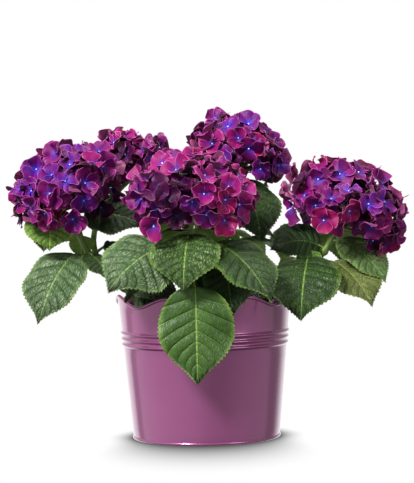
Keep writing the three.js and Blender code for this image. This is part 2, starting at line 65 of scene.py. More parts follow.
# A head: centre, radius, height and axis. A leaf: share of the shoot, the petiole's
# bearing, length and rise, the blade's bearing, its bend at the base and at the tip,
# length, width and tint, and its roll and fold where they aren't 0 and 0.1.
SHOOTS = {
    "left": Sizes(
        seed=11, foot=(-38, -8), guides=((-95, -10, 170), (-139, -10, 193)),
        head=((-152, -10, 283), 69, 52, (-0.36, -0.08, 0.92)), leafy=0.3,
        leaves=(
            (0.65, 188, 17, 14, 228, -36, -72, 96, 75, "grey", -12),
            (0.69, 292, 10, -10, 304, -16, -60, 44, 42, "moss"),
            (0.9, 150, 10, 5, 116, -4, -48, 84, 62, "fresh", 10, 0.08),
            (0.82, 80, 8, -5, 95, -30, -70, 36, 28, "grey"),
            (0.5, 100, 20, 20, 95, 12, -25, 60, 46, "deep"),
            (0.33, 300, 14, 10, 345, 5, -30, 58, 44, "deep", 35),
        ),
    ),
    "left_back": Sizes(
        seed=23, foot=(-30, 35), guides=((-110, 0, 167), (-169, 50, 215)),
        head=((-84, 90, 308), 50, 42, (-0.1, 0.2, 0.97)), leafy=0.5,
        leaves=(
            (0.8, 245, 36, 8, 348, 2, -28, 76, 58, "moss", 46, 0.08),
            (0.82, 65, 16, 10, 60, 8, -50, 84, 62, "mid", 0, 0.12),
            (0.88, 150, 12, 5, 140, 10, -40, 70, 52, "deep"),
        ),
    ),
    "center": Sizes(
        seed=35, foot=(-12, -38), guides=((-13, -44, 175), (-14, -62, 205)),
        head=((-12, -75, 272), 71, 51, (0, -0.12, 0.99)), leafy=0.22,
        leaves=(
            (0.72, 214, 26, 10, 216, -12, -50, 96, 82, "grey", -40, -0.2),
            (0.8, 262, 18, 15, 262, -25, -80, 78, 76, "pad", 0, 0.12),
            (0.52, 274, 56, -18, 272, -78, -88, 106, 81, "mid", 0, 0.05),
            (0.7, 318, 36, 12, 319, -20, -62, 99, 72, "moss", 14, 0.06),
            (0.52, 337, 35, 13, 285, -45, -80, 70, 56, "deep"),
            (0.42, 335, 30, 16, 262, -40, -82, 66, 50, "deep"),
            (0.34, 205, 24, 15, 212, 10, -55, 66, 52, "deep"),
        ),
    ),
    "top": Sizes(
        seed=47, foot=(10, 12), guides=((16, 22, 190), (37, 52, 239)),
        head=((41, 60, 317), 61, 49, (0.22, 0.02, 0.97)), leafy=0.3,
        leaves=(
            (0.92, 300, 16, 10, 296, -30, -84, 86, 68, "moss", 0, 0.06),
            (0.92, 120, 14, 20, 120, 5, -50, 84, 64, "mid", 0, 0.12),
            (0.5, 335, 26, 10, 335, -5, -35, 80, 62, "mid"),
            (0.62, 155, 24, 20, 155, 5, -45, 80, 60, "mid"),
            (0.34, 60, 22, 15, 60, 5, -60, 66, 50, "deep"),
        ),
    ),
    "right": Sizes(
        seed=59, foot=(38, -14), guides=((95, -14, 164), (131, -16, 187)),
        head=((159, -15, 258), 73, 53, (0.34, -0.08, 0.93)), leafy=0.3,
        leaves=(
            (0.68, 247, 29, 8, 258, -28, -74, 88, 82, "moss", 0, 0.08),
            (0.78, 190, 3, 45, 190, 30, -36, 62, 58, "deep", -40),
            (0.86, 345, 9, 5, 322, -16, -62, 76, 58, "silver", 16, 0.12),
            (0.6, 325, 28, 14, 308, -16, -62, 80, 64, "olive", 10),
            (0.9, 80, 14, 15, 80, 0, -55, 84, 64, "mid"),
            (0.76, 225, 20, 8, 262, -45, -85, 32, 28, "fresh", 0, 0.15),
            (0.42, 60, 22, 15, 60, 10, -35, 66, 50, "mid"),
            (0.33, 230, 18, 10, 190, 10, -25, 56, 44, "deep", -35),
        ),
    ),
    "back": Sizes(
        seed=71, foot=(-5, 45), guides=((-6, 62, 175), (-8, 118, 195)),
        head=((-8, 145, 261), 49, 40, (-0.05, 0.3, 0.95)), leafy=0.22,
        leaves=(
            (0.86, 20, 18, 10, 20, 0, -60, 84, 64, "mid"),
            (0.86, 165, 18, 10, 165, 0, -60, 84, 64, "grey"),
            (0.62, 92, 30, 5, 92, -5, -72, 98, 76, "mid", 0, 0.08),
            (0.42, 140, 34, 15, 132, 0, -70, 92, 70, "fresh"),
            (0.34, 200, 20, 15, 205, 5, -50, 70, 54, "deep"),
            (0.34, 340, 20, 15, 335, 5, -50, 70, 54, "mid"),
        ),
    ),
    "right_back": Sizes(
        seed=83, foot=(38, 38), guides=((80, 60, 175), (126, 90, 194)),
        head=((152, 104, 259), 43, 36, (0.2, 0.2, 0.95)), leafy=0.3,
        leaves=(
            (0.86, 30, 16, 10, 30, 0, -55, 72, 56, "grey"),
            (0.86, 118, 18, 10, 118, 0, -60, 88, 66, "mid"),
            (0.5, 70, 30, 10, 70, -5, -70, 90, 70, "mid"),
            (0.42, 250, 20, 15, 250, 5, -50, 62, 48, "deep"),
        ),
    ),
}

# ---- Vectors and curves ----


def lerp(a, b, share):
    return a + (b - a) * share


def smooth(low, high, x):
    """0 below low, 1 above high, and an S between."""
    t = np.clip((np.asarray(x, float) - low) / (high - low), 0, 1)
    return t * t * (3 - 2 * t)


def seeded(seed):
    """Park and Miller's generator, as the solids use it."""
    state = seed

    def draw():
        nonlocal state
        state = state * 16807 % 2147483647
        return state / 2147483647

    return draw


def unit(v):
    v = np.asarray(v, float)
    return v / np.linalg.norm(v, axis=-1, keepdims=True)


def bearing(degrees, rise=0.0):
    turn, lift = np.radians(degrees), np.radians(rise)
    return stacked(np.cos(turn) * np.cos(lift), np.sin(turn) * np.cos(lift), np.sin(lift))


def stacked(*rows):
    """Arrays spread to one shape and set side by side, as the parts of points."""
    return np.stack(np.broadcast_arrays(*rows), -1)


def circle(count):
    """That many angles, evenly round a turn."""
    return np.linspace(0, 2 * np.pi, count, endpoint=False)


def squared(direction, along):
    """What is left of a direction across another one."""
    return unit(direction - along * (direction @ along))


def across(along):
    """Two vectors across a direction, so that u x v points along it."""
    reference = np.array((1.0, 0, 0) if abs(along[0]) < 0.9 else (0, 1.0, 0))
    u = squared(reference, along)
    return u, np.cross(along, u)


def rotated(v, axis, degrees):
    """v turned about unit axes, by Rodrigues' formula."""
    turn = np.radians(degrees)
    dot = (v * axis).sum(-1, keepdims=True)
    return v * np.cos(turn) + np.cross(axis, v) * np.sin(turn) + axis * dot * (1 - np.cos(turn))


def bezier(points, share):
    """The points of a Bezier curve at the given shares."""
    share = np.asarray(share, float)[..., None]
    rows = [np.asarray(p, float) + 0 * share for p in points]
    while len(rows) > 1:
        rows = [lerp(a, b, share) for a, b in zip(rows, rows[1:])]
    return rows[0]


# ---- Meshes ----


def placed(name, data):
    """A new object in the scene."""
    thing = bpy.data.objects.new(name, data)
    bpy.context.scene.collection.objects.link(thing)
    return thing


# The baked picture is tiled: a place for each material, with a margin round it.
TILES, TILE_MARGIN = 3, 0.02


class Piece:
    """A mesh under construction: parts are added to it, and it is written once."""

    def __init__(self):
        self.verts, self.uvs, self.faces = [], [], []
        self.count = 0

    def add(self, verts, faces, uv=None):
        """faces is a list of (rows of corners, material index). The index is also the
        rows' tile of the baked picture."""
        verts = np.asarray(verts, float).reshape(-1, 3)
        uv = np.zeros((len(verts), 2)) if uv is None else np.asarray(uv, float).reshape(-1, 2)
        self.verts.append(verts)
        self.uvs.append(uv)
        for rows, material in faces:
            rows = np.asarray(rows, int)
            self.faces.append((rows + self.count, np.full(len(rows), material)))
        self.count += len(verts)

    def add_sheet(self, top, under, uv, tint, back):
        """A thin closed sheet between two grids of points. Its top faces where the
        direction of its rows crossed with that of its columns points."""
        grid = np.arange(top[..., 0].size).reshape(top.shape[:2])
        corners = [grid[:-1, :-1], grid[1:, :-1], grid[1:, 1:], grid[:-1, 1:]]
        face = np.stack(corners, -1).reshape(-1, 4)
        ring = np.concatenate([grid[0], grid[1:, -1], grid[-1, -2::-1], grid[-2:0:-1, 0]])
        after = np.roll(ring, -1)
        rim = np.stack([ring, after, after + grid.size, ring + grid.size], -1)
        faces = [(face, tint), (face[:, ::-1] + grid.size, back), (rim, tint)]
        self.add(np.stack([top, under]), faces, np.stack([uv, uv]))

    def write(self, name, materials, slot, replaces, uv_name=None, sharp=40):
        mesh = bpy.data.meshes.new(name)
        mesh.vertices.add(self.count)
        verts = np.concatenate(self.verts) * MM
        mesh.vertices.foreach_set("co", verts.astype(np.float32).ravel())
        loops = np.concatenate([rows.ravel() for rows, _ in self.faces])
        sizes = np.concatenate([np.full(len(rows), rows.shape[1]) for rows, _ in self.faces])
        mesh.loops.add(len(loops))
        mesh.loops.foreach_set("vertex_index", loops.astype(np.int32))
        mesh.polygons.add(len(sizes))
        starts = np.concatenate([[0], np.cumsum(sizes)[:-1]])
        mesh.polygons.foreach_set("loop_start", starts.astype(np.int32))
        index = np.concatenate([material for _, material in self.faces])
        for material in materials:
            mesh.materials.append(material)
        mesh.polygons.foreach_set("material_index", index.astype(np.int32))
        mesh.update(calc_edges=True)
        mesh.polygons.foreach_set("use_smooth", np.ones(len(sizes), bool))
        mesh.set_sharp_from_angle(angle=math.radians(sharp))
        if uv_name:
            uv = np.concatenate(self.uvs)[loops]
            self._uv_layer(mesh, uv_name, uv)
            tile = index.repeat(sizes)
            place = stacked(tile % TILES, tile // TILES)
            inset = TILE_MARGIN + (1 - 2 * TILE_MARGIN) * uv
            self._uv_layer(mesh, "OFBake", (place + inset) / TILES)
        thing = placed(name, mesh)
        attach(thing, "root")
        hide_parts(*replaces)

    @staticmethod
    def _uv_layer(mesh, name, uv):
        layer = mesh.uv_layers.new(name=name)
        layer.data.foreach_set("uv", uv.astype(np.float32).ravel())


def ring_faces(rows, sides, downward=False):
    """Rings of points, one over the other: their numbers, each one's next in its
    ring, and the quads between the rings. downward: the last ring is the lowest."""
    grid = np.arange(rows * sides).reshape(rows, sides)
    after = np.roll(grid, -1, axis=1)
    corners = [grid[:-1], after[:-1], after[1:], grid[1:]]
    if downward:
        corners[1:] = corners[:0:-1]
    return grid, after, np.stack(corners, -1).reshape(-1, 4)


def tube(points, radii, sides):
    """A closed tube along points; radii is one radius a point, or one a point and
    side. Returns its vertices, its faces and a UV: round it, and along it in mm."""
    points = np.asarray(points, float)
    radii = np.asarray(radii, float)
    radii = np.broadcast_to(radii.reshape(len(points), -1), (len(points), sides))
    tangents = unit(np.gradient(points, axis=0))
    u = across(tangents[0])[0]
    turn = circle(sides)
    rings = []
    for point, along, radius in zip(points, tangents, radii):
        u = squared(u, along)
        v = np.cross(along, u)
        ring = np.cos(turn)[:, None] * u + np.sin(turn)[:, None] * v
        rings.append(point + radius[:, None] * ring)
    verts = np.concatenate([*rings, points[:1], points[-1:]])
    grid, after, wall = ring_faces(len(points), sides)
    first, last = len(verts) - 2, len(verts) - 1
    foot = np.stack([after[0], grid[0], np.full(sides, first)], -1)
    tip = np.stack([grid[-1], after[-1], np.full(sides, last)], -1)
    length = np.concatenate([[0], np.cumsum(np.linalg.norm(np.diff(points, axis=0), axis=1))])
    uv = stacked(turn / (2 * np.pi), length[:, None]).reshape(-1, 2)
    uv = np.concatenate([uv, [[0.5, 0], [0.5, length[-1]]]])
    return verts, [(wall, 0), (foot, 0), (tip, 0)], uv


# ---- Materials ----


def srgb(red, green, blue):
    """A colour given as 0 to 255 screen values, as Blender's linear colour."""
    c = np.array([red, green, blue]) / 255
    linear = np.where(c <= 0.04045, c / 12.92, ((c + 0.055) / 1.055) ** 2.4)
    return (*linear.tolist(), 1.0)


class Nodes:
    """The nodes of a material or of the world under construction."""

    def __init__(self, tree):
        self.nodes, self.links = tree.nodes, tree.links

    def node(self, kind, *inputs, **settings):
        """A node with its inputs filled in order: None skips one, a socket is
        linked, and anything else is a value."""
        node = self.nodes.new(kind)
        for name, value in settings.items():
            setattr(node, name, value)
        for socket, value in zip(node.inputs, inputs):
            self.fill(socket, value)
        return node

    def fill(self, socket, value):
        if value is None:
            return
        if isinstance(value, bpy.types.NodeSocket):
            self.links.new(value, socket)
        else:
            socket.default_value = value

    def math(self, operation, a, b=None, c=None):
        return self.node("ShaderNodeMath", a, b, c, operation=operation).outputs[0]

    def times(self, a, b):
        return self.math("MULTIPLY", a, b)

    def times_plus(self, a, b, c):
        return self.math("MULTIPLY_ADD", a, b, c)

    def band(self, x, low, high):
        """1 where x is at low or less, 0 from high on, and an S between."""
        ends = (low, high, 1.0, 0.0)
        node = self.node("ShaderNodeMapRange", x, *ends, interpolation_type="SMOOTHSTEP")
        return node.outputs[0]

    def split(self, vector):
        return self.node("ShaderNodeSeparateXYZ", vector).outputs

    def vector(self, x, y, z=0.0):
        return self.node("ShaderNodeCombineXYZ", x, y, z).outputs[0]

    def place(self):
        return self.node("ShaderNodeTexCoord").outputs["Object"]

    def noise(self, vector, scale, detail=2.0, rough=0.5):
        node = self.node("ShaderNodeTexNoise", vector, None, scale, detail, rough)
        return node.outputs["Fac"]

    def ramp(self, share, stops):
        node = self.node("ShaderNodeValToRGB", share)
        elements = node.color_ramp.elements
        for k, (at, colour) in enumerate(stops):
            element = elements[k] if k < 2 else elements.new(at)
            element.position, element.color = at, colour
        return node.outputs[0]

    def clouded(self, scale, low, high, span=(0.3, 0.7), detail=3.0):
        """A mottle of two colours, in clouds a metre."""
        cloud = self.noise(self.place(), scale, detail)
        return self.ramp(cloud, [(span[0], low), (span[1], high)])

    def mix(self, share, a, b):
        node = self.node("ShaderNodeMix", share, data_type="RGBA")
        self.fill(node.inputs[6], a)
        self.fill(node.inputs[7], b)
        return node.outputs[2]


class Look(Nodes):
    """A Principled material under construction."""

    def __init__(self, name, **values):
        self.material = bpy.data.materials.new(name)
        self.material.use_nodes = True
        super().__init__(self.material.node_tree)
        self.shader = self.nodes["Principled BSDF"]
        for socket, value in values.items():
            self.shader.inputs[socket.replace("_", " ")].default_value = value

    def colour(self, value):
        self.fill(self.shader.inputs["Base Color"], value)

    def bump(self, height, distance):
        """distance is the relief's depth in millimetres for a height of 1."""
        node = self.nodes.new("ShaderNodeBump")
        node.inputs["Distance"].default_value = distance * MM
        self.fill(node.inputs["Height"], height)
        self.fill(self.shader.inputs["Normal"], node.outputs[0])


def plain_look(name, scale, low, high, span=(0.3, 0.7), detail=3.0, **values):
    """A mottle of two colours and nothing more."""
    look = Look(name, **values)
    look.colour(look.clouded(scale, low, high, span, detail))
    return look.material


# ---- Pot ----

POT_FACETS = 280
# Points of the profile on each of its stretches.
STEPS = Sizes(bead=9, wall=12, rib=11, roll=13, inside=6)


def pot_wall(z):
    return lerp(POT.foot, POT.top, z / POT.height)


def arc(centre, radius, start, end, steps):
    turn = np.radians(np.linspace(start, end, steps))
    return [(centre[0] + radius * np.cos(a), centre[1] + radius * np.sin(a)) for a in turn]


def pot_profile():
    """Radius and height, from the middle of the underside out, up, over the rolled
    rim, down the inside and back to the middle of the floor."""
    bead = BEAD.high / 2
    points = [(POT.hub, 0), (POT.web, 0), (POT.foot - POT.heel, 0)]
    points += arc((POT.foot + BEAD.out - bead, bead), bead, -90, 70, STEPS.bead)
    low, high = BEAD.high + BEAD.gap, RIBS.heights[0] - RIBS.half
    points += [(pot_wall(z), z) for z in np.linspace(low, high, STEPS.wall)]
    for rib in RIBS.heights:
        for z in np.linspace(-RIBS.half, RIBS.half, STEPS.rib)[1:]:
            lift = math.cos(math.pi * z / RIBS.half / 2) ** 2
            points.append((pot_wall(rib + z) + RIBS.out * lift, rib + z))
    rim_z = POT.height - RIM.roll
    start = POT.height - RIM.flare_from
    for z in np.linspace(start, rim_z - RIM.roll, STEPS.wall):
        flare = smooth(start, rim_z, z) * RIM.flare
        points.append((pot_wall(z) + flare, z))
    rim_r = pot_wall(POT.height) + RIM.flare
    points += arc((rim_r, rim_z), RIM.roll, -70, 170, STEPS.roll)
    inner = POT.height - RIM.inner
    lip = np.linspace(rim_z - RIM.tuck, inner, STEPS.inside)
    for z in (*lip, POT.height / 2, POT.floor):
        out = RIM.lip * smooth(inner, rim_z, z)
        points.append((pot_wall(z) - POT.wall + out, z))
    points.append((POT.hub, POT.floor))
    return np.array(points)


def build_pot(material):
    profile = pot_profile()
    turn = circle(POT_FACETS)
    radius, z = profile[:, 0][:, None], profile[:, 1][:, None]
    wave = np.cos(SCALLOPS.count * (turn - math.radians(SCALLOPS.crest)))
    lift = SCALLOPS.rise * wave * smooth(SCALLOPS.low, POT.height, z)
    slope = (POT.top - POT.foot) / POT.height
    radius = radius + lift * slope
    verts = stacked(radius * np.cos(turn), radius * np.sin(turn), z + lift)
    grid, _, wall = ring_faces(len(profile), POT_FACETS)
    piece = Piece()
    piece.add(verts, [(wall, 0), (grid[0][::-1][None], 0), (grid[-1][None], 0)])
    piece.write("pot_shell", [material], "pot", ["pot"], sharp=50)


def pot_paint():
    look = Look("pot_paint", Roughness=0.26, Metallic=0.55, Coat_Weight=1.0, Coat_Roughness=0.05)
    look.colour(look.clouded(9.0, srgb(148, 74, 124), srgb(158, 82, 132)))
    look.bump(look.noise(look.place(), scale=420.0), distance=0.02)
    return look.material


# ---- Compost ----

COMPOST = Sizes(
    seed=5, facets=96, rings=34, hub=0.02, gap=0.7, clear=0.4, relief=(-1, 0.1), rough=1.6,
    crumbs=900, spread=0.97, sunk=0.6, crumb=(0.8, 2.4), uneven=(0.6, 1.3),
)
CRUMB_CORNERS = np.array(
    [(1, 0, 0), (0, 1, 0), (-1, 0, 0), (0, -1, 0), (0, 0, 1), (0, 0, -1)], float
)
CRUMB_FACES = [
    (0, 1, 4), (1, 2, 4), (2, 3, 4), (3, 0, 4), (1, 0, 5), (2, 1, 5), (3, 2, 5), (0, 3, 5),
]


def build_compost(material):
    """The compost's rough top over its plain sides, with loose crumbs on it."""
    rng = np.random.RandomState(COMPOST.seed)
    outer = pot_wall(SOIL_TOP) - POT.wall - COMPOST.gap
    turn = circle(COMPOST.facets)
    share = np.linspace(COMPOST.hub, 1, COMPOST.rings)[:, None]
    radius = outer * share + 0 * turn
    relief = rng.uniform(*COMPOST.relief, radius.shape) * COMPOST.rough
    top = stacked(radius * np.cos(turn), radius * np.sin(turn), SOIL_TOP + relief)
    low = pot_wall(POT.floor) - POT.wall - COMPOST.gap
    foot = stacked(low * np.cos(turn), low * np.sin(turn), POT.floor + COMPOST.clear)
    verts = np.concatenate([top, foot[None]])
    grid, _, wall = ring_faces(len(verts), COMPOST.facets, downward=True)
    piece = Piece()
    piece.add(verts, [(wall, 0), (grid[0][None], 0), (grid[-1][::-1][None], 0)])
    for _ in range(COMPOST.crumbs):
        away = outer * COMPOST.spread * math.sqrt(rng.rand())
        angle = rng.uniform(0, 2 * math.pi)
        size = rng.uniform(*COMPOST.crumb) * rng.uniform(*COMPOST.uneven, (6, 1))
        spin = rotated(CRUMB_CORNERS * size, unit(rng.normal(size=3)), rng.uniform(0, 180))
        x, y = away * math.cos(angle), away * math.sin(angle)
        piece.add(np.array([x, y, SOIL_TOP - COMPOST.sunk]) + spin, [(CRUMB_FACES, 0)])
    piece.write("compost", [material], "soil", ["soil"], sharp=20)


def compost_look():
    look = Look("compost", Roughness=0.95)
    grain = look.noise(look.place(), scale=500.0, detail=4.0, rough=0.7)
    browns = [(0.35, srgb(20, 14, 10)), (0.6, srgb(46, 34, 25)), (0.75, srgb(88, 70, 52))]
    look.colour(look.ramp(grain, browns))
    look.bump(grain, distance=0.8)
    return look.material


# ---- Shoots ----

BARK = Sizes(
    sides=20, step=2.0, rib=0.07, ribs=5, knob=0.035,
    node=0.35, node_half=3.0, foot=0.12, foot_half=5, overlap=0.004,
)


def shoot_points(shoot):
    centre, _, height, axis = shoot.head
    top = np.array(centre) - unit(axis) * HEAD.sag * height
    return [(*shoot.foot, SOIL_TOP), *shoot.guides, top]


def stem_width(share):
    return lerp(STEM.foot, STEM.tip, share)


def build_limb(piece, shoot, start, end, rng):
    """A stretch of the shoot with its ribs, and its swellings where leaves stand."""
    curve = shoot_points(shoot)
    rough = bezier(curve, np.linspace(start, end, 200))  # close enough to measure it
    length = np.linalg.norm(np.diff(rough, axis=0), axis=1).sum()
    steps = max(4, round(length / BARK.step))
    share = np.linspace(start, end, steps + 1)
    points = bezier(curve, share)
    radius = stem_width(share)
    for leaf in shoot.leaves:
        away = (share - leaf[0]) * length / (end - start) / BARK.node_half
        radius = radius * (1 + BARK.node * np.exp(-(away**2)))
    turn = circle(BARK.sides)
    ribs = 1 + BARK.rib * np.cos(BARK.ribs * turn + rng.uniform(0, 6))
    knobs = 1 + BARK.knob * rng.normal(size=(steps + 1, BARK.sides))
    if start == 0:  # the foot swells a little where it leaves the compost
        away = share * length / (end - start) / BARK.foot_half
        radius = radius * (1 + BARK.foot * np.exp(-away))
    piece.add(*tube(points, radius[:, None] * ribs * knobs, BARK.sides))


def build_petiole(piece, leaf):
    reach = np.linalg.norm(leaf.base - leaf.root)
    elbow = leaf.root + bearing(leaf.heading, leaf.rise + PETIOLE.lift) * reach / 2
    sunk = leaf.root - bearing(leaf.heading) * PETIOLE.root
    point, _, _, up = leaf_frame(leaf, np.array([PETIOLE.joins]))
    end = point[0] - up[0] * PETIOLE.under
    share = np.linspace(0, 1, PETIOLE.steps)
    flare = 1 + PETIOLE.flare * np.exp(-share * reach / PETIOLE.flare_half)
    radius = lerp(PETIOLE.root, PETIOLE.tip, share) * flare
    piece.add(*tube(bezier([sunk, elbow, end], share), radius, PETIOLE.sides))


def stem_look(name, low, high):
    """A green stem with dark flecks and fine streaks along it."""
    look = Look(name, Roughness=0.55)
    place = look.place()
    spots = look.noise(place, scale=900.0, detail=1.0)
    flecks = look.times(look.math("GREATER_THAN", spots, 0.66), 0.5)
    look.colour(look.mix(flecks, look.clouded(60.0, low, high), srgb(92, 60, 44)))
    drawn = look.node("ShaderNodeVectorMath", place, (1, 1, 0.15), operation="MULTIPLY")
    look.bump(look.noise(drawn.outputs[0], scale=700.0), distance=0.25)
    return look.material


# ---- Leaves ----

LEAF = Sizes(
    # The outline, where it is widest and how blunt its ends are, and its teeth, whose
    # height is a share of the blade's length.
    widest=0.85, blunt=0.46, point=0.9, point_from=0.25, least=0.25,
    tooth_pitch=3.6, tooth_rows=3, least_teeth=16, tooth=0.018,
    tooth_sunk=0.35, tooth_root=0.84, lean=0.6, bite=(0.65, 1.3),
    teeth_start=(0.04, 0.14), teeth_end=(0.94, 0.99),
    # The columns from the midrib out, and how far a side vein runs forward to the margin.
    columns=(0.025, 0.08, 0.17, 0.29, 0.42, 0.55, 0.68, 0.8, 0.9, 1.0),
    ends=(0.004, 0.996), veins=9, sweep=0.97, arch=1.1,
    # The relief of a blade of the usual width: quilted between the veins, grooved over
    # the midrib, ribbed under the veins, and waved along the margin.
    usual=80, thick=0.6, quilt=1.6, groove=0.9, rib=1.3, side_rib=0.35,
    grain=0.06, droop=0.1, wave=0.035, waves=4.4, sway=0.4, sways=2.2,
    # Where each of them comes or goes across the blade, and what it loses on its way.
    quilt_in=(0.03, 0.25), quilt_out=(0.7, 1), quilt_loss=0.6, quilt_round=0.6,
    groove_out=(0.0, 0.07), groove_loss=0.6, rib_out=(0.02, 0.1), rib_loss=0.7,
    side_rib_out=(0, 0.35), wave_out=2.5,
)
# Between the veins: low and high green; along the veins and the margin; the painted shade
# in the sunken network of finer veins and beside the side veins; how pale the side veins
# are, and how deep the network.
LEAF_TINTS = {
    "fresh": ((80, 118, 30), (116, 150, 56), (164, 186, 90), (42, 74, 18), 0.5, 0.6),
    "mid": ((44, 76, 19), (64, 99, 32), (124, 156, 66), (22, 46, 9), 0.6, 0.45),
    # A darker copy of the mid green: painted shade for leaves that lie in the heads' shadow.
    "moss": ((37, 65, 16), (56, 88, 28), (110, 142, 58), (13, 30, 6), 0.45, 0.85),
    # The grey tint's pale grey-green is partly the leaves' own and partly painted sheen, their
    # gloss drawn into the colour.
    "grey": ((80, 108, 64), (118, 141, 100), (122, 152, 78), (20, 42, 12), 0.4, 0.9),
    # A brighter copy of the grey tint: painted light and sheen on a leaf that lies in a head's
    # shadow.
    "silver": ((96, 128, 64), (142, 170, 106), (140, 172, 90), (36, 64, 22), 0.5, 0.8),
    "pad": ((62, 94, 34), (94, 126, 60), (122, 154, 68), (12, 28, 6), 0.4, 1.0),
    # The darkest greens are painted shade, for leaves that lie deep under the heads or behind
    # them.
    "deep": ((28, 50, 13), (44, 72, 25), (88, 116, 46), (10, 22, 5), 0.4, 0.7),
    "olive": ((86, 102, 42), (118, 132, 70), (140, 150, 80), (62, 66, 26), 0.8, 0.7),
}
LEAF_BACK = len(LEAF_TINTS)
# A blade's upper face: the midrib's width; the cells of the fine network across the
# blade and along each band, and their warp; how wide the network's lines, its grooves
# and the pale margin are; how dark the painted shade in the network and beside the side
# veins is drawn, and how pale the margin and veins are; and the relief's heights.
UPPER = Sizes(
    midrib=0.018, across=36.0, along=1.8, warp=1.2, warp_scale=90.0,
    net=(0.01, 0.22), groove=(0.0, 0.24), margin=(0.0, 0.16),
    net_dark=0.85, flank_dark=0.75, margin_pale=0.45, vein_pale=0.85,
    groove_height=-0.7, flank_height=-0.8, grain_height=0.03,
)
# Young leaves under the heads and in the mouth of the pot, inside the others' reach;
# most are drawn in the darkest green, as painted shade where shade falls there.
YOUNG = {
    "left": ((0.31, 320, 10, -25, 350, -20, -35, 56, 38, "deep", 55),),
    "left_back": ((0.55, 340, 20, 40, 318, -30, -75, 48, 42, "deep"),),
    "center": (
        (0.93, 168, 6, 10, 168, -8, -48, 58, 40, "mid", 14),
        (0.93, 20, 6, 10, 20, -8, -48, 60, 42, "mid", -14),
        (0.86, 120, 8, 10, 120, 0, -50, 56, 42, "deep"),
        (0.86, 60, 8, 10, 60, 0, -50, 56, 42, "deep"),
    ),
    "top": (
        (0.7, 235, 10, 0, 235, -20, -60, 60, 46, "deep"),
        (0.66, 10, 10, 5, 10, -10, -60, 56, 42, "deep"),
    ),
    "back": (
        (0.8, 250, 12, 5, 250, -5, -50, 60, 46, "deep"),
        (0.8, 310, 12, 5, 310, -5, -50, 60, 46, "deep"),
    ),
}
# A light green leaf that shows under the left head, with random draws of its own.
LATE = {"left": ((0.93, 195, 24, 20, 258, -55, -85, 48, 60, "fresh"),)}


def two_phases(rng, across_blade):
    """A random phase for each half of a blade."""
    return rng.uniform(0, 2 * np.pi, 2)[(across_blade > 0).astype(int)]


def leaf_half(share):
    """Half the blade's width at a share of its length, for a width of 1."""
    share = np.clip(share, 0, 1)
    taper = LEAF.blunt + LEAF.point * smooth(LEAF.point_from, 1, share)
    return 0.5 * np.sin(np.pi * share ** LEAF.widest).clip(0) ** taper


def grown_leaf(
    shoot, share, heading, petiole, rise, turn, bend0, bend1, length, width, tint, roll=0, fold=0.1
):
    root = bezier(shoot_points(shoot), share)
    base = root + bearing(heading, rise) * (petiole + stem_width(share))
    return Sizes(
        root=root, base=base, heading=heading, rise=rise, turn=turn, bend=(bend0, bend1),
        length=length, width=width, roll=roll, fold=fold, tint=tint,
    )


def leaf_frame(leaf, share):
    """The midrib's points, and the directions along it, to its side and up."""
    start, end = np.radians(leaf.bend)
    now = lerp(start, end, share)
    out = (np.sin(now) - math.sin(start)) / (end - start)
    rise = (math.cos(start) - np.cos(now)) / (end - start)
    flat = bearing(leaf.turn)
    path = out[..., None] * flat + rise[..., None] * np.array((0, 0, 1.0))
    point = leaf.base + leaf.length * path
    along = bearing(leaf.turn, np.degrees(now))
    side = rotated(bearing(leaf.turn + 90) + 0 * along, along, leaf.roll)
    return point, along, side, np.cross(along, side)


def leaf_rows(count):
    """The rows' places on the midrib, so that they meet the margin evenly too."""
    even = np.linspace(*LEAF.ends, count)
    sweep = LEAF.sweep
    at_margin = ((1 + sweep) - np.sqrt((1 + sweep) ** 2 - 4 * sweep * even)) / (2 * sweep)
    return ((even + at_margin) / 2)[:, None]


